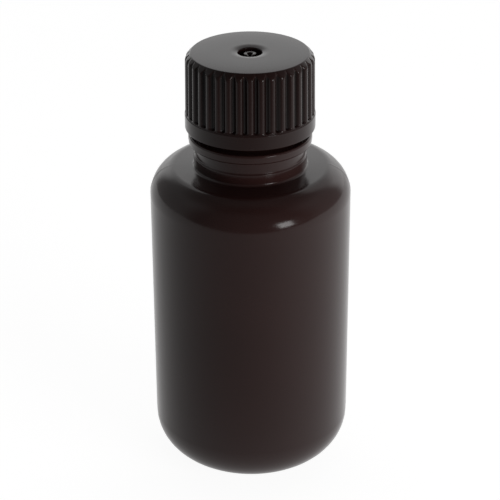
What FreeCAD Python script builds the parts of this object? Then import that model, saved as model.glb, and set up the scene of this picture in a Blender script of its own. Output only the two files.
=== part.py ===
import FreeCAD, Part
import math
import os

# Narrow mouth reagent bottle, 60 mL, with its ribbed screw cap closed on the neck.
#
# Frame: millimetres, +Z up along the axis of the bottle. The origin is the centre
# of the plane that the bottle stands on.
#
# The bottle is one blow-moulded piece and the cap is one injection-moulded piece.
# Both are drawn as half sections, from the axis outwards, and turned about +Z.

V = FreeCAD.Vector

# Body of the bottle
BODY_DIAMETER = 39.4
BODY_WALL = 1.0
SHOULDER_HEIGHT = 63.7
SHOULDER_SLOPE_DEG = 3.0
SHOULDER_CORNER = 6.1
BASE_CORNER = 8.6

# Base, pushed up in the middle so that the bottle stands on a ring
BASE_WALL = 1.2
PUSH_UP_DEPTH = 1.3
PUSH_UP_DIAMETER = 19.0
PUSH_UP_SLOPE_WIDTH = 2.6
PUSH_UP_ROUND = 2.0
STANDING_EDGE_ROUND = 0.6

# Stem between the shoulder and the bead
STEM_DIAMETER = 22.0
STEM_WALL = 1.5
STEM_HEIGHT = 4.6
STEM_STEP = 0.2
STEM_STEP_HEIGHT = 1.85
STEM_FOOT_FILLET = 0.7

# Bead that the moulding is handled by
BEAD_DIAMETER = 24.0
BEAD_THICKNESS = 1.6
BEAD_ROUND = 0.45

# Neck finish that carries the thread and the mouth
FINISH_DIAMETER = 18.0
FINISH_HEIGHT = 15.0
THREAD_DEPTH = 0.95
MOUTH_DIAMETER = 14.6
RIM_ROUND = 0.35
THROAT_LENGTH = 4.0
THROAT_ROUND = 2.0
SMALL_ROUND = 0.25

# Cap
CAP_THREAD_CLEARANCE = 0.2
CAP_WALL = 2.5
CAP_TOP_WALL = 1.6
CAP_LIFT_OFF_BEAD = 1.3
CAP_EDGE_ROUND = 0.3
CAP_CHAMFER_WIDTH = 1.05
CAP_CHAMFER_HEIGHT = 1.15
CAP_INNER_ROUND = 0.6

# Grip of the cap: ribs above a plain band
BAND_HEIGHT = 2.9
BAND_PROUD = 0.1
GRIP_DRAFT = 0.14
FLUTE_FOOT = 0.15
RIB_COUNT = 36
RIB_CREST = 0.8
FLUTE_DEPTH = 0.5

# Plug that seals in the mouth
PLUG_CLEARANCE = 0.1
PLUG_WALL = 0.9
PLUG_LENGTH = 2.6
PLUG_LEAD_IN = 0.4

# Gate well in the top of the cap, with the stub that the moulding leaves in it
GATE_WELL_DIAMETER = 4.9
GATE_WELL_DEPTH = 2.0
GATE_WELL_FLOOR = 1.2
GATE_WELL_LIP = 0.7
GATE_STUB_DIAMETER = 1.2
GATE_STUB_HEIGHT = 0.8

# Sizes that follow from those above
body_r = BODY_DIAMETER / 2
stem_r = STEM_DIAMETER / 2
bead_r = BEAD_DIAMETER / 2
finish_r = FINISH_DIAMETER / 2
mouth_r = MOUTH_DIAMETER / 2
slope = math.tan(math.radians(SHOULDER_SLOPE_DEG))
stem_foot_z = SHOULDER_HEIGHT + (body_r - stem_r) * slope
bead_bottom_z = stem_foot_z + STEM_HEIGHT
bead_top_z = bead_bottom_z + BEAD_THICKNESS
rim_z = bead_top_z + FINISH_HEIGHT

cap_bore_r = finish_r + THREAD_DEPTH + CAP_THREAD_CLEARANCE
cap_r = cap_bore_r + CAP_WALL
cap_bottom_z = bead_top_z + CAP_LIFT_OFF_BEAD
cap_ceiling_z = rim_z
cap_top_z = cap_ceiling_z + CAP_TOP_WALL
band_top_z = cap_bottom_z + BAND_HEIGHT
crest_r = cap_r - BAND_PROUD
flute_floor_z = band_top_z + BAND_PROUD + FLUTE_FOOT


def towards(start, end, length):
    """The point that lies length away from start on the way to end."""
    way = end - start
    return start + way * (length / way.Length)


def corner_reach(before, corner, after, radius):
    """How far an arc of that radius reaches from a corner along each side."""
    turn = (before - corner).getAngle(after - corner)
    return radius / math.tan(turn / 2)


def rounded_section(corners):
    """A closed wire in the XZ plane through (r, z, radius) corners.

    Each corner with a radius gets a tangent arc. Where two arcs would meet on
    one side, both are shortened in proportion, so that they just fit.
    """
    points = [V(r, 0, z) for r, z, radius in corners]
    count = len(points)
    reach = []
    for i, (r, z, radius) in enumerate(corners):
        if radius > 0:
            reach.append(corner_reach(points[i - 1], points[i], points[(i + 1) % count], radius))
        else:
            reach.append(0.0)
    fitted = list(reach)
    for i in range(count):
        j = (i + 1) % count
        side = (points[j] - points[i]).Length
        wanted = reach[i] + reach[j]
        if wanted > side:
            fitted[i] = min(fitted[i], reach[i] * side / wanted)
            fitted[j] = min(fitted[j], reach[j] * side / wanted)
    edges = []
    first = None
    last = None
    for i in range(count):
        before, corner, after = points[i - 1], points[i], points[(i + 1) % count]
        if fitted[i] > 0:
            arc_start = towards(corner, before, fitted[i])
            arc_end = towards(corner, after, fitted[i])
            turn = (before - corner).getAngle(after - corner)
            bisector = towards(corner, (arc_start + arc_end) / 2, 1.0) - corner
            to_centre = fitted[i] / math.cos(turn / 2)
            radius = fitted[i] * math.tan(turn / 2)
            arc_middle = corner + bisector * (to_centre - radius)
            if last is not None and (arc_start - last).Length > 1e-6:
                edges.append(Part.LineSegment(last, arc_start).toShape())
            edges.append(Part.Arc(arc_start, arc_middle, arc_end).toShape())
            first = first or arc_start
            last = arc_end
        else:
            if last is not None:
                edges.append(Part.LineSegment(last, corner).toShape())
            first = first or corner
            last = corner
    if (first - last).Length > 1e-6:
        edges.append(Part.LineSegment(last, first).toShape())
    return Part.Wire(edges)


def turned(corners):
    """The solid that a closed half section sweeps about the axis."""
    return Part.Face(rounded_section(corners)).revolve(V(0, 0, 0), V(0, 0, 1), 360)


def bottle():
    """The blow-moulded bottle: base, wall, shoulder, stem, bead and open neck."""
    push_up_r = PUSH_UP_DIAMETER / 2
    push_up_top_r = push_up_r - PUSH_UP_SLOPE_WIDTH
    waist_r = stem_r - STEM_STEP
    inner_r = body_r - BODY_WALL
    stem_bore_r = stem_r - STEM_WALL
    throat_top_z = bead_top_z + CAP_LIFT_OFF_BEAD
    ceiling_drop = BODY_WALL / math.cos(math.radians(SHOULDER_SLOPE_DEG))
    outside = [
        (0, PUSH_UP_DEPTH, 0),
        (push_up_top_r, PUSH_UP_DEPTH, PUSH_UP_ROUND),
        (push_up_r, 0, STANDING_EDGE_ROUND),
        (body_r, 0, BASE_CORNER),
        (body_r, SHOULDER_HEIGHT, SHOULDER_CORNER),
        (stem_r, stem_foot_z, STEM_FOOT_FILLET),
        (stem_r, stem_foot_z + STEM_STEP_HEIGHT, STEM_STEP),
        (waist_r, stem_foot_z + STEM_STEP_HEIGHT + STEM_STEP, STEM_STEP),
        (waist_r, bead_bottom_z, SMALL_ROUND),
        (bead_r, bead_bottom_z, BEAD_ROUND),
        (bead_r, bead_top_z, BEAD_ROUND),
        (finish_r, bead_top_z, SMALL_ROUND),
        (finish_r, rim_z, RIM_ROUND),
    ]
    inside = [
        (mouth_r, rim_z, RIM_ROUND),
        (mouth_r, throat_top_z, THROAT_ROUND),
        (stem_bore_r, throat_top_z - THROAT_LENGTH, THROAT_ROUND),
        (stem_bore_r, SHOULDER_HEIGHT + (body_r - stem_bore_r) * slope - ceiling_drop,
         STEM_FOOT_FILLET + STEM_WALL),
        (inner_r, SHOULDER_HEIGHT + BODY_WALL * slope - ceiling_drop, SHOULDER_CORNER - BODY_WALL),
        (inner_r, BASE_WALL, BASE_CORNER - BODY_WALL),
        (push_up_r + SMALL_ROUND, BASE_WALL, STANDING_EDGE_ROUND),
        (push_up_top_r, PUSH_UP_DEPTH + BASE_WALL, PUSH_UP_ROUND),
        (0, PUSH_UP_DEPTH + BASE_WALL, 0),
    ]
    return turned(outside + inside)


def cap_blank():
    """The cap before its ribs are cut: skirt, band, chamfered top, bore, plug and gate well."""
    well_r = GATE_WELL_DIAMETER / 2
    well_floor_z = cap_top_z - GATE_WELL_DEPTH
    boss_r = well_r + GATE_WELL_FLOOR
    boss_z = well_floor_z - GATE_WELL_FLOOR
    stub_r = GATE_STUB_DIAMETER / 2
    plug_r = mouth_r - PLUG_CLEARANCE
    plug_tip_z = cap_ceiling_z - PLUG_LENGTH
    crest_top_r = crest_r - GRIP_DRAFT
    outside = [
        (cap_bore_r, cap_bottom_z, CAP_EDGE_ROUND),
        (cap_r, cap_bottom_z, CAP_EDGE_ROUND),
        (cap_r, band_top_z, 0),
        (crest_r, band_top_z + BAND_PROUD, 0),
        (crest_top_r, cap_top_z - CAP_CHAMFER_HEIGHT, CAP_EDGE_ROUND),
        (crest_top_r - CAP_CHAMFER_WIDTH, cap_top_z, CAP_EDGE_ROUND),
        (well_r, cap_top_z, GATE_WELL_LIP),
        (well_r, well_floor_z, SMALL_ROUND),
        (stub_r, well_floor_z, 0),
        (stub_r, well_floor_z + GATE_STUB_HEIGHT, SMALL_ROUND),
        (0, well_floor_z + GATE_STUB_HEIGHT, 0),
    ]
    inside = [
        (0, boss_z, 0),
        (boss_r, boss_z, GATE_WELL_LIP),
        (boss_r, cap_ceiling_z, SMALL_ROUND),
        (plug_r - PLUG_WALL, cap_ceiling_z, SMALL_ROUND),
        (plug_r - PLUG_WALL, plug_tip_z, SMALL_ROUND),
        (plug_r - PLUG_LEAD_IN, plug_tip_z, SMALL_ROUND),
        (plug_r, plug_tip_z + PLUG_LEAD_IN * 2, 0),
        (plug_r, cap_ceiling_z, 0),
        (cap_bore_r, cap_ceiling_z, CAP_INNER_ROUND),
    ]
    return turned(outside + inside)


def flute_cutters():
    """One round-bottomed cutter for each gap between two ribs, closed below by the band.

    The first lies half a pitch round from +X, and the others are turned copies of it.
    """
    pitch = 2 * math.pi * crest_r / RIB_COUNT
    half_gap = (pitch - RIB_CREST) / 2
    cutter_r = (half_gap ** 2 + FLUTE_DEPTH ** 2) / (2 * FLUTE_DEPTH)
    foot = V(crest_r - FLUTE_DEPTH + cutter_r, 0, flute_floor_z)
    cutter = Part.makeCylinder(cutter_r, cap_top_z - flute_floor_z, foot, V(0, 0, 1))
    step = 360 / RIB_COUNT
    return [cutter.rotated(V(0, 0, 0), V(0, 0, 1), (i + 0.5) * step) for i in range(RIB_COUNT)]


def screw_cap():
    """The injection-moulded cap with its ring of ribs."""
    return cap_blank().cut(flute_cutters())


os.makedirs("parts", exist_ok=True)
for name, shape in (("bottle", bottle()), ("screw_cap", screw_cap())):
    solid = shape.Solids[0] if len(shape.Solids) == 1 else shape
    solid.exportStep("parts/" + name + ".step")
    box = solid.BoundBox
    print(name, "solids", len(shape.Solids), "valid", solid.isValid(), "volume", round(solid.Volume, 1),
          "from", round(box.ZMin, 3), "to", round(box.ZMax, 3), "across", round(box.XLength, 3))
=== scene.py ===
import math

import bpy
import numpy as np
from bpy.props import FloatProperty, FloatVectorProperty, IntProperty, PointerProperty
from mathutils import Matrix, Vector


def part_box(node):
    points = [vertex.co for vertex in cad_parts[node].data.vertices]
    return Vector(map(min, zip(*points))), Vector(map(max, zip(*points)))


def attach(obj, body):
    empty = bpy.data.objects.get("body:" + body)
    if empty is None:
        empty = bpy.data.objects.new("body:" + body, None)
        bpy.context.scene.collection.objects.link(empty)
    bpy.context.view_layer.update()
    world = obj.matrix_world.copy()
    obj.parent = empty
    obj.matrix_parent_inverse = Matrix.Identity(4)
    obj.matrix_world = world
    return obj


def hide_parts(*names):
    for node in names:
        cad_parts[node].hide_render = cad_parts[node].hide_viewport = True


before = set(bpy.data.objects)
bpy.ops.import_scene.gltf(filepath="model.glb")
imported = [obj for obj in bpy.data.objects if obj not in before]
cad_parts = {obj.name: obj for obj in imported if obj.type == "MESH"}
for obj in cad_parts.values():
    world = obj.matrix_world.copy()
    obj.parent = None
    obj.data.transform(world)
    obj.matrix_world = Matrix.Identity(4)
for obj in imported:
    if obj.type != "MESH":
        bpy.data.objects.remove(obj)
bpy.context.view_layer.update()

bl_info = {
    "name": "Narrow Mouth Reagent Bottle",
    "version": (1, 0, 0),
    "blender": (4, 5, 0),
    "location": "3D View > Sidebar > Reagent Bottle",
    "description": "A dark amber reagent bottle with a ribbed screw cap, on a plain white board",
    "category": "Object",
}

MM = 0.001
BOTTLE_BODY = "bottle"
CAP_BODY = "screw_cap"
BOTTLE_SLOT = "amber_hdpe"
CAP_SLOT = "amber_polypropylene"

# columns beside the parting line, in widths of the line, and where the even columns start again
SEAM_COLUMNS = (0.25, 0.5, 0.8, 1.2, 2.0)
SEAM_CLEAR = 2.5
# columns of a flute, in shares of the pitch from its middle, closer together on its sides
FLUTE_COLUMNS = (0.0, 0.055, 0.11, 0.16, 0.21, 0.265, 0.34)
# extra rows where the flutes run out, in mm above their floor
FLUTE_ROWS = (0.9, 0.45, 0.35, 0.27, 0.2, 0.14, 0.09, 0.05, 0.01, -0.05)
# the range of a noise that changes the gloss, the share of a flute's depth over which painted shade darkens
# it, and the near-black colour of that painted shade
GRAIN_RANGE = (0.3, 0.7)
FLUTE_SHADE_RANGE = (0.15, 0.9)
FLUTE_PAINTED_SHADE = (0.002, 0.002, 0.002, 1.0)
# unit vector along (0.3, 1, 0), the way in which the board's glow grows
BOARD_WAY = (0.287, 0.958, 0)
# where the studio's light changes, as coordinates of the unit vector towards it: the backdrop and
# the room overhead by Z, the room from the camera's side to the back by Y
BACKDROP_FALL = (0.36, 0.56)
OVERHEAD_FALL = (0.6, 0.92)
ROOM_RISE = (-0.55, 0.0)

bottle_low, bottle_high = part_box("bottle")
cap_low, cap_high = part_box("screw_cap")


def srgb(code):
    """Linear red, green and blue of an sRGB hex code such as "#2b1b19"."""
    channels = np.array([int(code[i:i + 2], 16) for i in (1, 3, 5)]) / 255
    low = channels / 12.92
    high = ((channels + 0.055) / 1.055) ** 2.4
    return tuple(float(v) for v in np.where(channels <= 0.04045, low, high))


def number(name, description, default, **limits):
    """A number property."""
    return FloatProperty(name=name, description=description, default=default, **limits)


def length(name, description, default_mm):
    """A length property in Blender units, with its default given in millimetres."""
    return number(name, description, default_mm * MM, min=0.0, unit="LENGTH", precision=5)


def measured(name, description, metres):
    """A length property whose default is measured on the solid in the frame."""
    return number(name, description, float(metres), unit="LENGTH", precision=5)


def angle(name, description, degrees):
    """An angle property, with its default given in degrees."""
    return number(name, description, math.radians(degrees), unit="ROTATION")


def fraction(name, description, default):
    """A property between 0 and 1."""
    return number(name, description, default, min=0.0, max=1.0, subtype="FACTOR")


def glow(name, description, default):
    """A property for the light of a surface or of the studio, where 1 is white."""
    return number(name, description, default, min=0.0)


def colour(name, description, code):
    """A colour property, with its default given as an sRGB hex code."""
    return FloatVectorProperty(name=name, description=description, default=srgb(code),
                               subtype="COLOR", size=3, min=0.0, max=1.0)


class BottleSizes(bpy.types.PropertyGroup):
    """Sizes of the blow-moulded bottle. Height and diameter come from the frame."""
    diameter: measured("Body diameter", "Outside of the round wall", bottle_high[0] - bottle_low[0])
    rim_height: measured("Rim height", "From the standing ring to the mouth", bottle_high[2])
    wall: length("Wall", "Thickness of the round wall and the shoulder", 1.0)
    base_wall: length("Base wall", "Thickness of the base", 1.2)
    shoulder_height: length("Shoulder height", "Where the inner slope would meet the wall", 63.7)
    shoulder_slope: angle("Inner slope", "Rise of the shoulder's inside to the stem", 3.0)
    shoulder_corner: length("Shoulder corner", "Radius between wall and shoulder", 6.1)
    shelf_slope: angle("Shelf slope", "Fall of the shoulder's inner part", 2.0)
    brow_diameter: length("Brow diameter", "Where the shoulder's two parts would meet", 30.86)
    brow_slope: angle("Brow slope", "Fall of the shoulder's outer part", 22.0)
    brow_round: length("Brow radius", "Radius between the shoulder's two parts", 2.7)
    base_corner: length("Base corner", "Radius between wall and base", 8.6)
    push_up_depth: length("Push-up depth", "Height of the hollow under the base", 1.3)
    push_up_diameter: length("Push-up diameter", "Width of the hollow at the standing ring", 19.0)
    push_up_slope: length("Push-up slope", "Width of the hollow's sloping edge", 2.6)
    stem_diameter: length("Stem diameter", "Outside of the stem under the bead", 22.0)
    stem_wall: length("Stem wall", "Thickness of the stem", 1.5)
    stem_height: length("Stem height", "From the shoulder to the bead", 4.86)
    stem_step: length("Stem step", "How far the upper stem is set in", 0.2)
    stem_step_height: length("Stem step height", "From the shoulder to the step", 2.3)
    bead_diameter: length("Bead diameter", "Outside of the handling bead", 24.0)
    bead_thickness: length("Bead thickness", "Height of the handling bead", 1.9)
    finish_diameter: length("Finish diameter", "Neck wall at the thread's root", 18.0)
    finish_height: length("Finish height", "From the bead to the rim", 15.0)
    mouth_diameter: length("Mouth diameter", "Bore of the mouth", 14.6)
    throat_length: length("Throat length", "Height over which the mouth opens to the stem", 4.0)
    cap_rise: length("Cap rise", "Gap between the bead and the cap's skirt", 1.3)
    seam_height: length("Parting line height", "How proud the mould's parting line stands", 0.06)
    seam_width: length("Parting line width", "Width of the parting line", 0.3)
    seam_from: fraction("Parting line start", "Share of the body's radius where the line starts", 0.6)
    pinch_length: length("Pinch-off length", "Length of the welded seam under the base", 12.0)
    pinch_width: length("Pinch-off width", "Width of the welded seam under the base", 0.7)
    pinch_height: length("Pinch-off height", "Height of the welded seam under the base", 0.4)
    columns: IntProperty(name="Columns", description="Grid columns round the axis", default=192, min=24)


class ThreadSizes(bpy.types.PropertyGroup):
    """Sizes of the screw thread on the neck and in the cap."""
    pitch: length("Pitch", "Rise of the thread in one turn", 3.175)
    depth: length("Depth", "Height of a ridge above its wall", 0.95)
    root: length("Root width", "Width of a ridge at its wall", 1.9)
    crest: length("Crest width", "Width of a ridge at its crest", 0.55)
    turns: number("Turns", "Length of the neck's ridge in turns", 1.5)
    more_turns: number("More turns", "How much longer the cap's ridge is, in turns", 0.25)
    start: length("Start", "From the rim to the middle of the neck ridge's upper end", 1.9)
    play: length("Play", "Gap between the flanks of the two ridges", 0.12)
    fade: angle("Run-out", "Angle over which a ridge's end fades out", 28.0)


class CapSizes(bpy.types.PropertyGroup):
    """Sizes of the injection-moulded cap. Its place and outer size come from the frame."""
    diameter: measured("Band diameter", "Outside of the plain band", cap_high[0] - cap_low[0])
    bore: length("Bore", "Inside of the skirt at the thread's root", 20.3)
    top_wall: length("Top wall", "Thickness of the flat top", 1.6)
    edge_round: length("Edge radius", "Radius of the cap's outer edges", 0.25)
    chamfer_width: length("Chamfer width", "How far the top's edge is set in", 1.05)
    chamfer_height: length("Chamfer height", "Height of the bevel round the top", 1.15)
    chamfer_round: length("Chamfer radius", "Radius between the ribs and the bevel", 1.3)
    crown: length("Crown", "How far the top falls from its middle to its edge", 0.16)
    band_height: length("Band height", "Height of the plain band", 2.9)
    band_proud: length("Band step", "How proud of the ribs the band stands", 0.1)
    draft: length("Draft", "How much the ribs lean in on their way up", 0.14)
    ribs: IntProperty(name="Ribs", description="Number of ribs round the grip", default=36, min=8)
    rib_round: length("Rib radius", "How soft the crest of a rib is", 0.2)
    flute_width: length("Flute width", "Width of the hollow between two ribs", 1.42)
    flute_depth: length("Flute depth", "Depth of the hollow between two ribs", 0.66)
    flute_round: length("Flute radius", "How soft the bottom of a flute is", 0.26)
    flute_foot: length("Flute foot", "From the band's step to the flute's floor", 0.15)
    plug_play: length("Plug play", "Gap between the plug and the mouth", 0.1)
    plug_wall: length("Plug wall", "Thickness of the sealing plug", 0.9)
    plug_length: length("Plug length", "How far the plug reaches into the mouth", 2.6)
    plug_lead: length("Plug lead-in", "Width of the bevel at the plug's tip", 0.4)
    well_diameter: length("Gate well diameter", "Width of the hollow in the top", 4.7)
    well_depth: length("Gate well depth", "Depth of the hollow in the top", 2.0)
    well_floor: length("Gate well floor", "Wall under and round the hollow", 1.2)
    well_lip: length("Gate well lip", "Radius of the hollow's soft lip", 0.25)
    dish_width: length("Dish width", "Width of the soft dish round the hollow", 0.9)
    dish_depth: length("Dish depth", "Depth of the soft dish round the hollow", 0.23)
    dish_round: length("Dish radius", "Radius between the flat top and the dish", 5.0)
    stub_diameter: length("Gate stub diameter", "Width of the broken sprue in the hollow", 2.5)
    stub_height: length("Gate stub height", "Height of the broken sprue", 1.6)
    stub_pit: length("Gate stub pit", "Width of the hole torn in the broken sprue", 1.1)
    stub_notch: length("Gate stub notch", "How much lower the sprue's rim stands at the front", 0.55)
    witness: length("Witness mark", "Width of the small ejector mark on the band", 0.36)
    witness_height: length("Witness mark height", "From the skirt's edge to the mark", 0.55)


class Finishes(bpy.types.PropertyGroup):
    """Colours and surface of the two plastics."""
    hdpe: colour("Bottle colour", "Amber masterbatch in polyethylene", "#311d1b")
    hdpe_deep: colour("Bottle shade", "Where the pigment lies thicker", "#2b1917")
    hdpe_roughness: fraction("Bottle roughness", "Satin of the blown wall", 0.16)
    hdpe_grain: length("Bottle grain", "Size of the blast grain that the mould prints", 0.45)
    hdpe_grain_depth: length("Bottle grain depth", "Depth of the blast grain", 0.0025)
    hdpe_flow: length("Flow lines", "Width of the upright flow lines", 1.6)
    hdpe_flow_depth: length("Flow line depth", "Depth of the upright flow lines", 0.002)
    hdpe_ripple: length("Wall ripple", "Size of the soft waves in the blown wall", 16.0)
    hdpe_ripple_depth: length("Wall ripple depth", "Depth of the soft waves", 0.04)
    cap: colour("Cap colour", "Amber masterbatch in polypropylene", "#261614")
    cap_deep: colour("Cap shade", "Where the pigment lies thicker", "#211311")
    cap_cloud: length("Cap clouds", "Size of the spots of thicker pigment", 9.0)
    # painted shade: how far the bottom of a flute is darkened towards near black
    cap_flute_painted_shade: fraction("Flute shade", "How much darker the bottom of a flute is", 0.75)
    cap_roughness: fraction("Cap roughness", "Satin of the moulded cap", 0.17)
    cap_grain: length("Cap grain", "Size of the spark-eroded grain on the cap", 0.3)
    cap_grain_depth: length("Cap grain depth", "Depth of the spark-eroded grain", 0.0009)
    gloss_play: fraction("Gloss play", "How much the grain changes the roughness each way", 0.03)


class StageSettings(bpy.types.PropertyGroup):
    """The plain studio: white board, bright backdrop, dim room, softbox and fill."""
    floor_front: length("Board front", "From the axis to the board's front edge", 195)
    floor_back: length("Board back", "From the axis to the board's back edge", 2000)
    floor_half: length("Board half width", "Half the width of the board", 1500)
    floor_white: fraction("Board albedo", "Share of light that the board scatters", 0.3)
    floor_seen: glow("Board glow to the camera", "Light of the board as the camera sees it", 0.92)
    floor_near: glow("Board front glow", "Light of the board's front", 0.14)
    floor_far: glow("Board back glow", "Light of the board's back", 0.76)
    foot_glow: glow("Foot glow", "More light of the board at the bottle's foot", 1.0)
    foot_reach: length("Foot glow reach", "Distance over which that light falls off", 16)
    backdrop: glow("Backdrop", "Light of the backdrop", 1.1)
    backdrop_upper: glow("Backdrop upper part", "Light of its upper part", 0.6)
    backdrop_top: angle("Backdrop top", "Elevation of the backdrop's upper edge", 54)
    backdrop_half: angle("Backdrop half width", "Angle from its middle to its side", 41)
    backdrop_turn: angle("Backdrop turn", "Angle of its middle to the right", 8)
    backdrop_edge: angle("Backdrop edge", "Half the angle over which its sides fade out", 8)
    room_front: glow("Room in front", "Light of the room behind the camera", 0.075)
    room_side: glow("Room at the sides", "Light of the room beside the object", 0.26)
    room_over: fraction("Room overhead", "Share of the room's light right overhead", 0.3)
    aim_height: length("Aim height", "Point of the axis that both lamps face", 60)
    key_azimuth: angle("Softbox azimuth", "Angle to the right of the camera", 38)
    key_elevation: angle("Softbox elevation", "Angle above the shoulder", 2)
    key_lean: angle("Softbox lean", "Turn of the softbox about its own axis", 15)
    key_distance: length("Softbox distance", "From the shoulder to the softbox", 800)
    key_width: length("Softbox width", "Width of the softbox", 225)
    key_height: length("Softbox height", "Height of the softbox", 220)
    key_power: number("Softbox power", "Power of the softbox", 0.66, unit="POWER")
    fill_azimuth: angle("Fill azimuth", "Angle to the right of the camera", 50)
    fill_elevation: angle("Fill elevation", "Angle above the shoulder", 1)
    fill_distance: length("Fill distance", "From the shoulder to the fill light", 1000)
    fill_size: length("Fill size", "Width and height of the fill light", 600)
    fill_power: number("Fill power", "Power of the fill light", 6.5, unit="POWER")
    lens: number("Lens", "Focal length", 132.25, unit="CAMERA")
    camera_distance: length("Camera distance", "From the camera to its target", 368.5)
    camera_elevation: angle("Camera elevation", "Angle above the floor", 26.88)
    camera_roll: angle("Camera roll", "Lean of the photograph", -0.26)
    target_height: length("Target height", "Point of the axis in the middle of the picture", 44.54)
    shift_x: number("Shift", "Sideways shift of the lens", -0.00156)


def rounded_profile(corners, turn_step=math.radians(9.0), guard=0.12 * MM):
    """Points (r, z) along straight runs whose corners are rounded.

    A corner is (r, z, radius). Its arc touches both runs, so it starts radius / tan(half the
    angle between them) from the corner, and its points lie one radius from a centre on the
    bisector. Where two arcs would meet on one run, both shrink in proportion. A guard point
    beside each end of an arc keeps the shading of a flat run flat. Points that coincide are one.
    """
    spots = np.array([c[:2] for c in corners], float)
    radii = np.array([c[2] for c in corners], float)
    back = np.roll(spots, 1, axis=0) - spots
    ahead = np.roll(spots, -1, axis=0) - spots
    back_length = np.linalg.norm(back, axis=1)
    ahead_length = np.linalg.norm(ahead, axis=1)
    back = back / back_length[:, None]
    ahead = ahead / ahead_length[:, None]
    half = np.arccos(np.clip((back * ahead).sum(axis=1), -1, 1)) / 2
    reach = radii / np.tan(half)
    reach[0] = reach[-1] = 0
    wanted = reach[:-1] + reach[1:]
    fits = np.minimum(1, ahead_length[:-1] / np.maximum(wanted, 1e-12))
    reach = reach * np.minimum(np.append(fits, 1), np.insert(fits, 0, 1))
    rows = [spots[:1]]
    for i in range(1, len(spots) - 1):
        if reach[i] <= 0:
            rows.append(spots[i:i + 1])
            continue
        middle = back[i] + ahead[i]
        middle = middle / np.linalg.norm(middle)
        centre = spots[i] + middle * reach[i] / math.cos(half[i])
        first = spots[i] + back[i] * reach[i] - centre
        last = spots[i] + ahead[i] * reach[i] - centre
        sweep = math.atan2(first[0] * last[1] - first[1] * last[0], first @ last)
        steps = max(3, math.ceil(abs(sweep) / turn_step))
        turn = np.linspace(0, sweep, steps + 1)
        arc_r = first[0] * np.cos(turn) - first[1] * np.sin(turn)
        arc_z = first[0] * np.sin(turn) + first[1] * np.cos(turn)
        rows.append(centre + np.stack([arc_r, arc_z], axis=1))
    rows.append(spots[-1:])
    guarded = [rows[0]]
    for before, after in zip(rows[:-1], rows[1:]):
        run = after[0] - before[-1]
        span = np.linalg.norm(run)
        if span > 4 * guard:
            step = run / span * guard
            guarded.append(np.array([before[-1] + step, after[0] - step]))
        guarded.append(after)
    points = np.concatenate(guarded)
    apart = np.linalg.norm(np.diff(points, axis=0), axis=1) > 0.001 * MM
    return points[np.insert(apart, 0, True)]


def mesh_object(name, points, quads, triangles, smooth=True):
    """A mesh object at the origin from an array of points and arrays of quads and triangles."""
    mesh = bpy.data.meshes.new(name)
    mesh.from_pydata(points, [], [*quads.tolist(), *triangles.tolist()], shade_flat=not smooth)
    if mesh.validate():
        raise RuntimeError(name + " has faces that don't close up")
    piece = bpy.data.objects.new(name, mesh)
    bpy.context.scene.collection.objects.link(piece)
    return piece


def closed_grid(name, sections, ends):
    """A closed surface from a grid of points, with one point more at each end.

    sections[i, j] is the point j of the closed loop i, and the two ends close the first loop and
    the last with a fan. Faces look outwards where the loops turn left as they rise.
    """
    count, around = sections.shape[:2]
    points = np.concatenate([sections.reshape(-1, 3), np.array(ends)])
    here = np.arange(count * around).reshape(count, around)
    beside = np.roll(here, -1, axis=1)
    quads = np.stack([here[:-1], beside[:-1], beside[1:], here[1:]], axis=-1).reshape(-1, 4)
    start = np.stack([np.full(around, here.size), beside[0], here[0]], axis=1)
    end = np.stack([here[-1], beside[-1], np.full(around, here.size + 1)], axis=1)
    return mesh_object(name, points, quads, np.concatenate([start, end]))


def revolve(name, radius, height, angles):
    """A closed surface round the axis.

    radius has one row a profile point, and one column an angle or a single one for all. height is
    one value a row. A point is (radius cos angle, radius sin angle, height). The first and last rows lie on
    the axis and are one point each.
    """
    x, y = radius[1:-1] * np.cos(angles), radius[1:-1] * np.sin(angles)
    sections = np.stack([x, y, np.broadcast_to(height[1:-1, None], x.shape)], axis=-1)
    return closed_grid(name, sections, [(0, 0, height[0]), (0, 0, height[-1])])


def add_node(tree, kind, inputs=None, **settings):
    """Adds a node with its settings. inputs gives each socket a value, or the output it is linked to."""
    node = tree.nodes.new(kind)
    for key, value in settings.items():
        setattr(node, key, value)
    for socket, value in (inputs or {}).items():
        if isinstance(value, bpy.types.NodeSocket):
            tree.links.new(value, node.inputs[socket])
        else:
            node.inputs[socket].default_value = value
    return node


def calculate(tree, operation, *values):
    """The result of a Math node on those values."""
    return add_node(tree, "ShaderNodeMath", dict(enumerate(values)), operation=operation).outputs["Value"]


def vector(tree, operation, *values):
    """A Vector Math node on those values."""
    return add_node(tree, "ShaderNodeVectorMath", dict(enumerate(values)), operation=operation)


def noise(tree, place, size, detail, roughness=0.5):
    """A noise whose spots are size metres wide, for Object coordinates in metres."""
    return add_node(tree, "ShaderNodeTexNoise", {"Vector": place, "Scale": 1.0 / size, "Detail": detail,
                                                 "Roughness": roughness}).outputs["Fac"]


def mix(tree, factor, low, high):
    """A value that goes from low to high with the factor."""
    # sockets of a Mix node for values: factor 0, inputs 2 and 3, result 0
    return add_node(tree, "ShaderNodeMix", {0: factor, 2: low, 3: high}).outputs[0]


def mix_colour(tree, factor, low, high):
    """A colour that goes from low to high with the factor."""
    # sockets of a Mix node for colours: factor 0, inputs 6 and 7, result 2
    return add_node(tree, "ShaderNodeMix", {0: factor, 6: low, 7: high}, data_type="RGBA").outputs[2]


def spread(tree, value, source, target=(0.0, 1.0), kind="LINEAR"):
    """Maps a value from the source range to the target range, and holds it at both ends."""
    inputs = {"Value": value, "From Min": source[0], "From Max": source[1],
              "To Min": target[0], "To Max": target[1]}
    return add_node(tree, "ShaderNodeMapRange", inputs, interpolation_type=kind).outputs["Result"]


def bump(tree, height, depth, normal=None):
    """The normal that a relief of that depth in metres gives, on top of another normal."""
    inputs = {"Height": height, "Strength": 1.0, "Distance": depth}
    if normal is not None:
        inputs["Normal"] = normal
    return add_node(tree, "ShaderNodeBump", inputs).outputs["Normal"]


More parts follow.
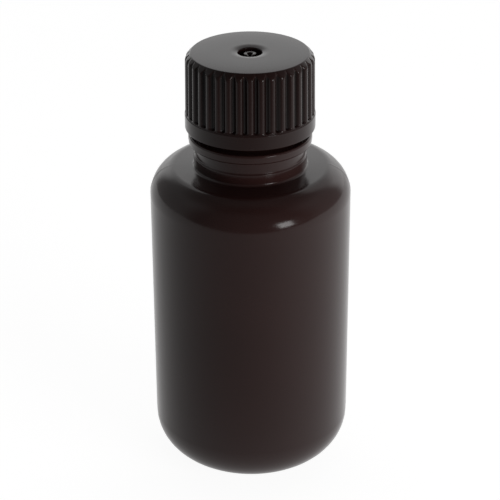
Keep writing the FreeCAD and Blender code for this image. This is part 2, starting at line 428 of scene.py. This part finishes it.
def new_material(name):
    """An empty node material, its tree and its output node."""
    material = bpy.data.materials.new(name)
    material.use_nodes = True
    material.node_tree.nodes.clear()
    output = material.node_tree.nodes.new("ShaderNodeOutputMaterial")
    return material, material.node_tree, output


def satin(tree, output, tone, grain, roughness, play, ior, normal):
    """Joins a satin plastic to the output. The grain changes its roughness by play each way."""
    gloss = spread(tree, grain, GRAIN_RANGE, (roughness - play, roughness + play))
    shader = add_node(tree, "ShaderNodeBsdfPrincipled",
                      {"Base Color": tone, "Roughness": gloss, "IOR": ior, "Normal": normal})
    tree.links.new(shader.outputs["BSDF"], output.inputs["Surface"])


def blown_hdpe(name, finish):
    """High-density polyethylene, blow-moulded, with amber pigment.

    The eye sees a dark brown, nearly black wall with a satin gloss: a blasted mould leaves a
    very fine grain, the parison leaves faint upright flow lines, and the cooled wall isn't quite
    true, so reflections waver a little. The grain is drawn coarser than the real 0.05 mm, because
    that would not show.
    """
    material, tree, output = new_material(name)
    place = add_node(tree, "ShaderNodeTexCoord").outputs["Object"]
    cloud = noise(tree, place, finish.hdpe_ripple, 3.0)
    tone = mix_colour(tree, cloud, (*finish.hdpe, 1.0), (*finish.hdpe_deep, 1.0))
    # drawn out along Z, the noise becomes upright lines
    stretched = add_node(tree, "ShaderNodeMapping", {"Vector": place, "Scale": (1.0, 1.0, 0.04)})
    flow = noise(tree, stretched.outputs["Vector"], finish.hdpe_flow, 2.0)
    grain = noise(tree, place, finish.hdpe_grain, 4.0, 0.6)
    normal = bump(tree, cloud, finish.hdpe_ripple_depth)
    normal = bump(tree, flow, finish.hdpe_flow_depth, normal)
    normal = bump(tree, grain, finish.hdpe_grain_depth, normal)
    satin(tree, output, tone, grain, finish.hdpe_roughness, finish.gloss_play, 1.54, normal)
    return material


def moulded_polypropylene(name, finish):
    """Polypropylene, injection-moulded, with amber pigment.

    The eye sees the same dark brown as the bottle, a little deeper, with a finer satin from the
    spark-eroded steel and soft sheen on the rounded ribs. The bottoms of the flutes get painted
    shade: the colour darkens towards near black with the share of a flute's depth that "hollow" carries.
    """
    material, tree, output = new_material(name)
    place = add_node(tree, "ShaderNodeTexCoord").outputs["Object"]
    cloud = noise(tree, place, finish.cap_cloud, 2.0)
    tone = mix_colour(tree, cloud, (*finish.cap, 1.0), (*finish.cap_deep, 1.0))
    # painted shade: the bottoms of the flutes darken towards near black with their share of the depth
    hollow = add_node(tree, "ShaderNodeAttribute", attribute_name="hollow").outputs["Fac"]
    shade = spread(tree, hollow, FLUTE_SHADE_RANGE, (0.0, finish.cap_flute_painted_shade))
    tone = mix_colour(tree, shade, tone, FLUTE_PAINTED_SHADE)
    grain = noise(tree, place, finish.cap_grain, 4.0, 0.6)
    normal = bump(tree, grain, finish.cap_grain_depth)
    satin(tree, output, tone, grain, finish.cap_roughness, finish.gloss_play, 1.47, normal)
    return material


PLASTICS = {BOTTLE_SLOT: ("Blow-moulded amber HDPE", blown_hdpe),
            CAP_SLOT: ("Injection-moulded amber polypropylene", moulded_polypropylene)}


def dress(piece, body, slot, node=None):
    """Gives a piece its plastic, its body and its slot, and stands it for a node if one is named.

    A plastic is made once and shared by the pieces of its slot.
    """
    name, maker = PLASTICS[slot]
    plastic = bpy.data.materials.get(name) or maker(name, bpy.context.scene.bottle_finishes)
    piece.data.materials.append(plastic)
    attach(piece, body)
    if node:
        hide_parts(node)


def even_angles(columns):
    """Angles of columns that stand evenly round the axis."""
    return np.arange(columns) * 2 * math.pi / columns


def between(low, high, value):
    """A smooth rise from 0 at low to 1 at high: 3 t^2 - 2 t^3."""
    t = np.clip((value - low) / (high - low), 0, 1)
    return t * t * (3 - 2 * t)


def neck_levels(size):
    """Heights of the stem's foot, the bead's two faces and the skirt's edge, measured down from the rim."""
    bead_top = size.rim_height - size.finish_height
    bead_bottom = bead_top - size.bead_thickness
    return bead_bottom - size.stem_height, bead_bottom, bead_top, bead_top + size.cap_rise


def bottle_profile(size):
    """The bottle's half section, up the outside from the base's middle and down the inside."""
    body = size.diameter / 2
    stem = size.stem_diameter / 2
    waist = stem - size.stem_step
    bead = size.bead_diameter / 2
    finish = size.finish_diameter / 2
    mouth = size.mouth_diameter / 2
    bore = stem - size.stem_wall
    inner = body - size.wall
    hollow = size.push_up_diameter / 2
    hollow_top = hollow - size.push_up_slope
    rise = math.tan(size.shoulder_slope)
    drop = size.wall / math.cos(size.shoulder_slope)
    foot, bead_bottom, bead_top, skirt = neck_levels(size)
    step = foot + size.stem_step_height
    brow = size.brow_diameter / 2
    brow_z = foot - (brow - stem) * math.tan(size.shelf_slope)
    wide_round, throat_round = 2.0 * MM, 2.2 * MM
    ring_round, ring_inset = 0.6 * MM, 0.25 * MM
    foot_round, step_round, neck_round = 0.5 * MM, 0.2 * MM, 0.25 * MM
    bead_round, rim_round = 0.45 * MM, 0.35 * MM
    outside = [
        (0, size.push_up_depth, 0),
        (hollow_top, size.push_up_depth, wide_round),
        (hollow, 0, ring_round),
        (body, 0, size.base_corner),
        (body, brow_z - (body - brow) * math.tan(size.brow_slope), size.shoulder_corner),
        (brow, brow_z, size.brow_round),
        (stem, foot, foot_round),
        (stem, step, step_round),
        (waist, step + size.stem_step, step_round),
        (waist, bead_bottom, neck_round),
        (bead, bead_bottom, bead_round),
        (bead, bead_top, bead_round),
        (finish, bead_top, neck_round),
        (finish, size.rim_height, rim_round),
    ]
    inside = [
        (mouth, size.rim_height, rim_round),
        (mouth, skirt, wide_round),
        (bore, skirt - size.throat_length, wide_round),
        (bore, size.shoulder_height + (body - bore) * rise - drop, throat_round),
        (inner, size.shoulder_height + size.wall * rise - drop, size.shoulder_corner - size.wall),
        (inner, size.base_wall, size.base_corner - size.wall),
        (hollow + ring_inset, size.base_wall, ring_round),
        (hollow_top, size.push_up_depth + size.base_wall, wide_round),
        (0, size.push_up_depth + size.base_wall, 0),
    ]
    return rounded_profile(outside + inside)


class BOTTLE_OT_moulding(bpy.types.Operator):
    """Adds the blow-moulded bottle: base, wall, shoulder, stem, bead and open neck"""
    bl_idname = "reagent_bottle.moulding"
    bl_label = "Bottle"

    def execute(self, context):
        """Turns the half section about the axis, and raises the parting line on two sides.

        The radius grows by height * exp(-(distance / half width)^2), where the distance runs
        round the wall from the X axis, on the outside only. Extra columns beside the line carry it.
        """
        size = context.scene.bottle_sizes
        profile = bottle_profile(size)
        body = size.diameter / 2
        beside = np.array(SEAM_COLUMNS) * size.seam_width / body
        near = np.concatenate([-beside[::-1], [0], beside])
        even = even_angles(size.columns)
        clear = np.abs(np.sin(even)) > SEAM_CLEAR * size.seam_width / body
        angles = np.sort(np.concatenate([even[clear], near % (2 * math.pi), near + math.pi]))
        radius, height = profile[:, :1], profile[:, 1:]
        foot, bead_bottom = neck_levels(size)[:2]
        outside = np.arange(len(profile))[:, None] < np.argmax(height)
        on_stem = (height > foot) & (height < bead_bottom)
        seamed = outside & ((radius > size.seam_from * body) | on_stem)
        away = np.abs(radius * np.sin(angles))
        seam = size.seam_height * np.exp(-(2 * away / size.seam_width) ** 2)
        piece = revolve("bottle_moulding", radius + np.where(seamed, seam, 0), profile[:, 1], angles)
        dress(piece, BOTTLE_BODY, BOTTLE_SLOT, "bottle")
        return {"FINISHED"}


class BOTTLE_OT_pinch_off(bpy.types.Operator):
    """Adds the welded seam that the mould pinches off under the base"""
    bl_idname = "reagent_bottle.pinch_off"
    bl_label = "Pinch-off Seam"

    def execute(self, context):
        """A straight bar along X under the push-up.

        Its height falls from the middle to the ends as sqrt(1 - (x / half length)^4), and its
        width with it to a third. Its section is half an ellipse, with the flat side sunk a little
        into the base.
        """
        size = context.scene.bottle_sizes
        sunk, narrow = 0.15 * MM, 0.35
        along = np.linspace(-0.999, 0.999, 61)
        around = np.linspace(0, 2 * math.pi, 24, endpoint=False)
        tall = np.sqrt(1 - along ** 4)[:, None]
        across = np.sin(around) * size.pinch_width / 2 * (narrow + (1 - narrow) * tall)
        level = np.cos(around)
        down = np.where(level > 0, level * size.pinch_height * tall, level * sunk)
        x = np.broadcast_to(along[:, None] * size.pinch_length / 2, across.shape)
        sections = np.stack([x, across, size.push_up_depth - down], axis=-1)
        ends = [(side * size.pinch_length / 2, 0, size.push_up_depth) for side in (-1, 1)]
        piece = closed_grid("pinch_off_seam", sections, ends)
        dress(piece, BOTTLE_BODY, BOTTLE_SLOT)
        return {"FINISHED"}


def thread_ridge(name, wall, outward, top, turns, thread):
    """A screw ridge of trapezoid section on a round wall, right-handed, fading out at both ends.

    At the angle a the section's middle is at the height top - pitch * a / 2 pi, so that the ridge
    sinks as it goes round. The section is a closed loop of points (depth, height): its crest is
    rounded by a sine, and its foot is sunk into the wall. Over the run-out angle the depth shrinks
    to a fiftieth and the width to a third, with the smooth step 3 t^2 - 2 t^3.
    """
    sections_a_turn = 120
    sunk, crest_round, beyond = 0.12 * MM, 0.05 * MM, 0.02
    low, narrow = 0.02, 0.3
    turn = np.linspace(0, turns * 2 * math.pi, int(turns * sections_a_turn))
    grow = low + (1 - low) * between(0, thread.fade, np.minimum(turn, turn[-1] - turn))[:, None]
    half_root, half_crest = thread.root / 2, thread.crest / 2
    slope = np.linspace(0, 1, 6)
    flank_out = thread.depth * slope
    flank_up = half_root + (half_crest - half_root) * slope
    crest = np.linspace(math.pi / 8, math.pi - math.pi / 8, 5)
    crest_up = half_crest * np.cos(crest)
    crest_out = thread.depth + crest_round * np.sin(crest)
    depth = np.concatenate([[-sunk], flank_out, crest_out, flank_out[::-1], [-sunk]])
    up = np.concatenate([[half_root], flank_up, crest_up, -flank_up[::-1], [-half_root]])
    radius = wall + outward * np.where(depth > 0, depth * grow, depth)
    fall = thread.pitch / (2 * math.pi)
    height = top - fall * turn[:, None] + up * (narrow + (1 - narrow) * grow)
    sections = np.stack([radius * np.cos(turn)[:, None], radius * np.sin(turn)[:, None], height], axis=-1)
    if outward < 0:
        sections = sections[:, ::-1]
    ends = [(wall * math.cos(a), wall * math.sin(a), top - fall * a) for a in (-beyond, turn[-1] + beyond)]
    return closed_grid(name, sections, ends)


class BOTTLE_OT_neck_thread(bpy.types.Operator):
    """Adds the thread on the neck"""
    bl_idname = "reagent_bottle.neck_thread"
    bl_label = "Neck Thread"

    def execute(self, context):
        size, thread = context.scene.bottle_sizes, context.scene.bottle_thread
        top = size.rim_height - thread.start
        piece = thread_ridge("neck_thread", size.finish_diameter / 2, 1, top, thread.turns, thread)
        dress(piece, BOTTLE_BODY, BOTTLE_SLOT)
        return {"FINISHED"}


class BOTTLE_OT_cap_thread(bpy.types.Operator):
    """Adds the thread inside the cap, bearing on the underside of the neck's thread"""
    bl_idname = "reagent_bottle.cap_thread"
    bl_label = "Cap Thread"

    def execute(self, context):
        size, thread = context.scene.bottle_sizes, context.scene.bottle_thread
        below = (thread.root + thread.crest) / 2 + thread.play
        top = size.rim_height - thread.start - below
        piece = thread_ridge("cap_thread", context.scene.bottle_cap.bore / 2, -1, top,
                             thread.turns + thread.more_turns, thread)
        dress(piece, CAP_BODY, CAP_SLOT)
        return {"FINISHED"}


def cap_profile(cap, mouth):
    """The cap's half section, from the gate well out over the top, down the skirt and in under it.

    The top falls from its middle to its edge by crown * (r / edge radius)^4.
    """
    band = cap.diameter / 2
    crest = band - cap.band_proud
    crest_top = crest - cap.draft
    edge = crest_top - cap.chamfer_width
    top, bottom = cap_high[2], cap_low[2]
    ceiling = top - cap.top_wall
    bore = cap.bore / 2
    well = cap.well_diameter / 2
    well_floor = top - cap.well_depth
    boss = well + cap.well_floor
    boss_z = well_floor - cap.well_floor
    plug = mouth - cap.plug_play
    plug_in = plug - cap.plug_wall
    tip = ceiling - cap.plug_length
    band_top = bottom + cap.band_height
    small = cap.edge_round
    step_round, band_round, lead_round = 0.05 * MM, 0.16 * MM, 0.1 * MM
    bore_round, plug_round, boss_round = 0.6 * MM, 0.2 * MM, 0.8 * MM
    dish = well + cap.dish_width
    crowned = np.linspace(dish + 0.35 * (edge - dish), edge, 8)
    fall = top - cap.crown * (crowned / edge) ** 4
    corners = [
        (0, well_floor, 0),
        (well, well_floor, small),
        (well, top - cap.dish_depth, cap.well_lip),
        (dish, top, cap.dish_round),
        *((r, z, 0) for r, z in zip(crowned[:-1], fall[:-1])),
        (edge, fall[-1], small),
        (crest_top, top - cap.chamfer_height, cap.chamfer_round),
        (crest, band_top + cap.band_proud, step_round),
        (band, band_top, band_round),
        (band, bottom, small),
        (bore, bottom, small),
        (bore, ceiling, bore_round),
        (plug, ceiling, plug_round),
        (plug, tip + 2 * cap.plug_lead, lead_round),
        (plug - cap.plug_lead, tip, small),
        (plug_in, tip, small),
        (plug_in, ceiling, plug_round),
        (boss, ceiling, plug_round),
        (boss, boss_z, boss_round),
        (0, boss_z, 0),
    ]
    return rounded_profile(corners, turn_step=math.radians(14.0))


def with_rows(profile, heights):
    """The profile with extra points at those falling heights on its outer skirt."""
    outer = np.argmax(profile[:, 0])
    above = outer - 1
    while profile[above, 1] <= profile[outer, 1] + 1e-9 or profile[above, 1] < heights.max():
        above -= 1
    upper, lower = profile[above], profile[above + 1]
    way = (upper[1] - heights) / (upper[1] - lower[1])
    extra = upper + (lower - upper) * way[:, None]
    return np.concatenate([profile[:above + 1], extra, profile[above + 1:]])


class BOTTLE_OT_cap_moulding(bpy.types.Operator):
    """Adds the injection-moulded cap: ribs, band, bevelled top, gate well and sealing plug"""
    bl_idname = "reagent_bottle.cap_moulding"
    bl_label = "Screw Cap"

    def execute(self, context):
        """Turns the cap's half section about the axis, and sinks the flutes into its grip.

        Across one pitch a flute is a soft V: with x the distance from its middle, g is half its
        width less sqrt(x^2 + b^2), where b rounds the bottom, and the depth grows with
        (g + sqrt(g^2 + e^2)) / 2, where e rounds the rib's crest. A flute starts at its floor above
        the band and runs straight up. On the bevel the cap is the lower of bevel and flute, which
        makes the pointed arches below the top: with d the height of one over the other, d is taken
        off as (d + sqrt(d^2 + c^2)) / 2. The attribute "hollow" is the share of the full depth, by
        which the cap's material paints shade into the flutes.
        """
        cap = context.scene.bottle_cap
        crest = cap.diameter / 2 - cap.band_proud
        top = cap_high[2]
        floor = cap_low[2] + cap.band_height + cap.band_proud + cap.flute_foot
        profile = cap_profile(cap, context.scene.bottle_sizes.mouth_diameter / 2)
        profile = with_rows(profile, floor + np.array(FLUTE_ROWS) * MM)
        radius, height = profile[:, :1], profile[:, 1]

        step = 2 * math.pi / cap.ribs
        side = np.array(FLUTE_COLUMNS)
        column = np.concatenate([[-0.5], -side[:0:-1], side])
        groove = cap.flute_width / 2 - np.hypot(column * step * crest, cap.flute_round)
        depth = (groove + np.hypot(groove, cap.rib_round)) / 2
        depth = np.tile((depth - depth.min()) / np.ptp(depth), cap.ribs) * cap.flute_depth
        angles = (np.repeat(np.arange(cap.ribs), len(column)) + 0.5 + np.tile(column, cap.ribs)) * step

        grip_down, foot_down, foot_up, arch_round = 0.06 * MM, 0.05 * MM, 0.35 * MM, 0.03 * MM
        outer = np.argmax(profile[:, 0])
        grip = (np.arange(len(profile)) <= outer) & (height > floor - grip_down)
        grip &= (height < top - cap.crown) & (profile[:, 0] > crest - 2 * cap.chamfer_width)
        foot = between(floor - foot_down, floor + foot_up, height)
        draft = np.clip((height - floor) / (top - cap.chamfer_height - floor), 0, 1) * cap.draft
        over = radius - ((crest - draft)[:, None] - depth * foot[:, None])
        cut = (over + np.hypot(over, arch_round)) / 2 - arch_round / 2
        taken = np.where(grip[:, None], np.maximum(cut, 0), 0)
        piece = revolve("cap_moulding", (radius - taken)[::-1], height[::-1], angles)
        # the share of a flute's depth at each point, which the cap's material turns into painted shade
        hollow = piece.data.attributes.new("hollow", "FLOAT", "POINT")
        sunk = np.concatenate([(taken[::-1][1:-1] / cap.flute_depth).ravel(), [0, 0]])
        hollow.data.foreach_set("value", np.clip(sunk, 0, 1).astype(np.float32))
        dress(piece, CAP_BODY, CAP_SLOT, "screw_cap")
        return {"FINISHED"}


class BOTTLE_OT_gate_stub(bpy.types.Operator):
    """Adds the broken sprue in the gate well, with the pit it tore out"""
    bl_idname = "reagent_bottle.gate_stub"
    bl_label = "Gate Stub"

    def execute(self, context):
        """A short turned stub with a round rim and a pit in the middle.

        The rim stands lower at the front by notch * exp(-(angle / width)^2), and its radius varies
        round the axis as the sum of two sines, as a torn edge does.
        """
        cap = context.scene.bottle_cap
        stub, pit = cap.stub_diameter / 2, cap.stub_pit / 2
        floor = cap_high[2] - cap.well_depth
        tip = floor + cap.stub_height
        root, notch_width = floor - 0.2 * MM, 0.45
        corners = [
            (0, root, 0),
            (1.2 * stub, root, 0.02 * MM),
            (1.1 * stub, floor + 0.1 * MM, 0.2 * MM),
            (0.92 * stub, tip, 0.25 * MM),
            (pit, tip - 0.05 * MM, 0.15 * MM),
            (0.7 * pit, tip - 0.8 * MM, 0.15 * MM),
            (0, tip - 0.85 * MM, 0),
        ]
        profile = rounded_profile(corners, turn_step=math.radians(12.0), guard=0.05 * MM)
        angles = even_angles(96)
        risen_from = floor + 0.4 * MM
        torn = 0.05 * np.sin(2 * angles + 0.7) + 0.04 * np.sin(5 * angles)
        radius = profile[:, :1] * (1 + torn * between(risen_from, tip, profile[:, 1:]))
        piece = revolve("gate_stub", radius, profile[:, 1], angles)
        points = np.empty(len(piece.data.vertices) * 3, np.float32)
        piece.data.vertices.foreach_get("co", points)
        points = points.reshape(-1, 3)
        turned = np.arctan2(points[:, 0], -points[:, 1])
        lift = between(risen_from, tip, points[:, 2])
        across = between(0.5 * pit, pit, np.hypot(points[:, 0], points[:, 1]))
        points[:, 2] -= cap.stub_notch * lift * across * np.exp(-(turned / notch_width) ** 2)
        piece.data.vertices.foreach_set("co", points.ravel())
        piece.data.update()
        dress(piece, CAP_BODY, CAP_SLOT)
        return {"FINISHED"}


class BOTTLE_OT_witness_mark(bpy.types.Operator):
    """Adds the small raised mark on the band above the skirt's front edge"""
    bl_idname = "reagent_bottle.witness_mark"
    bl_label = "Witness Mark"

    def execute(self, context):
        """A flat dome on the band, turned about an axis that points at the viewer."""
        cap = context.scene.bottle_cap
        wide, proud, sunk = cap.witness / 2, 0.08 * MM, 0.1 * MM
        turn = np.linspace(0, math.pi / 2, 7)
        dome = np.stack([np.cos(turn) * wide, np.sin(turn) * proud], axis=1)
        profile = np.concatenate([[[0, -sunk], [wide, -sunk]], dome])
        profile[-1, 0] = 0
        piece = revolve("witness_mark", profile[:, :1], profile[:, 1], even_angles(24))
        out = Vector((0, -cap.diameter / 2, cap_low[2] + cap.witness_height))
        piece.data.transform(Matrix.Translation(out) @ Matrix.Rotation(math.pi / 2, 4, "X"))
        dress(piece, CAP_BODY, CAP_SLOT)
        return {"FINISHED"}


def board_material(stage):
    """Matt white board. It takes the object's soft shadow, and looks white to the camera.

    Its glow for all other rays grows from its front to its back, a little more to the right: with d
    the unit vector from the axis to the point, it is linear in d . (0.3, 1, 0). Close to the
    bottle's foot it rises with exp(-distance / reach). The glossy wall of the bottle shows that.
    """
    material, tree, output = new_material("Matt white board")
    place = add_node(tree, "ShaderNodeTexCoord").outputs["Object"]
    way = vector(tree, "NORMALIZE", place).outputs["Vector"]
    along = vector(tree, "DOT_PRODUCT", way, BOARD_WAY).outputs["Value"]
    depth = spread(tree, along, (-1.0, 1.0), (stage.floor_near, stage.floor_far))
    distance = vector(tree, "LENGTH", place).outputs["Value"]
    foot = calculate(tree, "EXPONENT", calculate(tree, "MULTIPLY", distance, -1 / stage.foot_reach))
    lit = calculate(tree, "MULTIPLY_ADD", foot, stage.foot_glow, depth)
    to_camera = add_node(tree, "ShaderNodeLightPath").outputs["Is Camera Ray"]
    seen = mix(tree, to_camera, lit, stage.floor_seen)
    shine = add_node(tree, "ShaderNodeEmission", {"Color": (1, 1, 1, 1), "Strength": seen})
    white = stage.floor_white
    board = add_node(tree, "ShaderNodeBsdfDiffuse", {"Color": (white, white, white, 1)})
    both = add_node(tree, "ShaderNodeAddShader", {0: shine.outputs["Emission"], 1: board.outputs["BSDF"]})
    tree.links.new(both.outputs["Shader"], output.inputs["Surface"])
    return material


def studio_world(stage):
    """A white backdrop behind the object, and a dim room elsewhere.

    Camera rays see plain white. For all others the backdrop is where two smooth steps hold: one
    over the cosine of the angle from its middle, seen from above, and one over its elevation. Its
    light falls with elevation. The room's grows from the camera's side to the back, and falls
    overhead.
    """
    world = bpy.data.worlds.new("Studio")
    bpy.context.scene.world = world
    world.use_nodes = True
    tree = world.node_tree
    tree.nodes.clear()
    way = add_node(tree, "ShaderNodeTexCoord").outputs["Generated"]
    axes = add_node(tree, "ShaderNodeSeparateXYZ", {"Vector": way}).outputs
    flat = vector(tree, "NORMALIZE", vector(tree, "MULTIPLY", way, (1, 1, 0)).outputs["Vector"])
    middle = (math.sin(stage.backdrop_turn), math.cos(stage.backdrop_turn), 0)
    turn = vector(tree, "DOT_PRODUCT", flat.outputs["Vector"], middle).outputs["Value"]
    half, top, edge = stage.backdrop_half, stage.backdrop_top, stage.backdrop_edge
    across = spread(tree, turn, (math.cos(half + edge), math.cos(half - edge)), kind="SMOOTHSTEP")
    under = spread(tree, axes["Z"], (math.sin(top + edge / 2), math.sin(top - edge / 2)), kind="SMOOTHSTEP")
    card = calculate(tree, "MULTIPLY", across, under)
    card_range = (stage.backdrop, stage.backdrop_upper)
    card_light = spread(tree, axes["Z"], BACKDROP_FALL, card_range, "SMOOTHSTEP")
    room = spread(tree, axes["Y"], ROOM_RISE, (stage.room_front, stage.room_side), "SMOOTHSTEP")
    over = spread(tree, axes["Z"], OVERHEAD_FALL, (1.0, stage.room_over), "SMOOTHSTEP")
    light = mix(tree, card, calculate(tree, "MULTIPLY", room, over), card_light)
    to_camera = add_node(tree, "ShaderNodeLightPath").outputs["Is Camera Ray"]
    seen = mix(tree, to_camera, light, 1.0)
    shine = add_node(tree, "ShaderNodeBackground", {"Color": (1, 1, 1, 1), "Strength": seen})
    add_node(tree, "ShaderNodeOutputWorld", {"Surface": shine.outputs["Background"]})


def faced(away, turned):
    """The rotation of a lamp or camera that looks against the unit vector away, turned about its view."""
    facing = (-away).to_track_quat("-Z", "Y").to_matrix().to_4x4()
    return (facing @ Matrix.Rotation(turned, 4, "Z")).to_euler()


def soft_light(name, aim, azimuth, elevation, distance, width, height, power, lean=0.0):
    """A rectangular lamp that faces the aim, at an azimuth counted from the camera to the right."""
    light = bpy.data.lights.new(name, "AREA")
    light.shape = "RECTANGLE"
    light.size = width
    light.size_y = height
    light.energy = power
    lamp = bpy.data.objects.new(name, light)
    lamp.visible_camera = False
    flat = math.cos(elevation)
    way = Vector((flat * math.sin(azimuth), -flat * math.cos(azimuth), math.sin(elevation)))
    lamp.location = aim + way * distance
    lamp.rotation_euler = faced(way, lean)
    bpy.context.scene.collection.objects.link(lamp)
    return lamp


class BOTTLE_OT_stage(bpy.types.Operator):
    """Adds the white board, the studio light and the camera at the photograph's angle"""
    bl_idname = "reagent_bottle.stage"
    bl_label = "Stage"

    def execute(self, context):
        stage = context.scene.bottle_stage
        half, front, back = stage.floor_half, -stage.floor_front, stage.floor_back
        points = np.array([[-half, front, 0], [half, front, 0], [half, back, 0], [-half, back, 0]])
        floor = mesh_object("floor", points, np.array([[0, 1, 2, 3]]), np.zeros((0, 3), int), smooth=False)
        floor.data.materials.append(board_material(stage))
        studio_world(stage)
        aim = Vector((0, 0, stage.aim_height))
        soft_light("softbox", aim, stage.key_azimuth, stage.key_elevation, stage.key_distance,
                   stage.key_width, stage.key_height, stage.key_power, stage.key_lean)
        # the fill only lifts the colour, as the light does that shines through the amber wall
        fill = soft_light("fill", aim, stage.fill_azimuth, stage.fill_elevation, stage.fill_distance,
                          stage.fill_size, stage.fill_size, stage.fill_power)
        fill.visible_glossy = False

        camera = bpy.data.cameras.new("camera")
        camera.lens = stage.lens
        camera.shift_x = stage.shift_x
        viewer = bpy.data.objects.new("camera", camera)
        away = Vector((0, -math.cos(stage.camera_elevation), math.sin(stage.camera_elevation)))
        viewer.location = Vector((0, 0, stage.target_height)) + away * stage.camera_distance
        viewer.rotation_euler = faced(away, stage.camera_roll)
        context.scene.collection.objects.link(viewer)
        context.scene.camera = viewer
        context.scene.view_settings.view_transform = "Standard"
        return {"FINISHED"}


PIECES = (BOTTLE_OT_moulding, BOTTLE_OT_pinch_off, BOTTLE_OT_neck_thread, BOTTLE_OT_cap_moulding,
          BOTTLE_OT_cap_thread, BOTTLE_OT_gate_stub, BOTTLE_OT_witness_mark, BOTTLE_OT_stage)


class BOTTLE_PT_pieces(bpy.types.Panel):
    """Lists the pieces of the bottle and its stage"""
    bl_idname = "BOTTLE_PT_pieces"
    bl_label = "Reagent Bottle"
    bl_space_type = "VIEW_3D"
    bl_region_type = "UI"
    bl_category = "Reagent Bottle"

    def draw(self, context):
        for operator in PIECES:
            self.layout.operator(operator.bl_idname, text=operator.bl_label)


GROUPS = {"bottle_sizes": BottleSizes, "bottle_thread": ThreadSizes, "bottle_cap": CapSizes,
          "bottle_finishes": Finishes, "bottle_stage": StageSettings}


def register():
    """Registers the classes and hangs each group of settings on the scene."""
    for item in (*GROUPS.values(), *PIECES, BOTTLE_PT_pieces):
        bpy.utils.register_class(item)
    for name, group in GROUPS.items():
        setattr(bpy.types.Scene, name, PointerProperty(type=group))


def unregister():
    """Takes away what register added."""
    for name in GROUPS:
        delattr(bpy.types.Scene, name)
    for item in (BOTTLE_PT_pieces, *reversed(PIECES), *reversed(GROUPS.values())):
        bpy.utils.unregister_class(item)


def main():
    """Builds all pieces and the stage."""
    register()
    for operator in PIECES:
        group, name = operator.bl_idname.split(".")
        getattr(getattr(bpy.ops, group), name)()


if __name__ == "__main__":
    main()
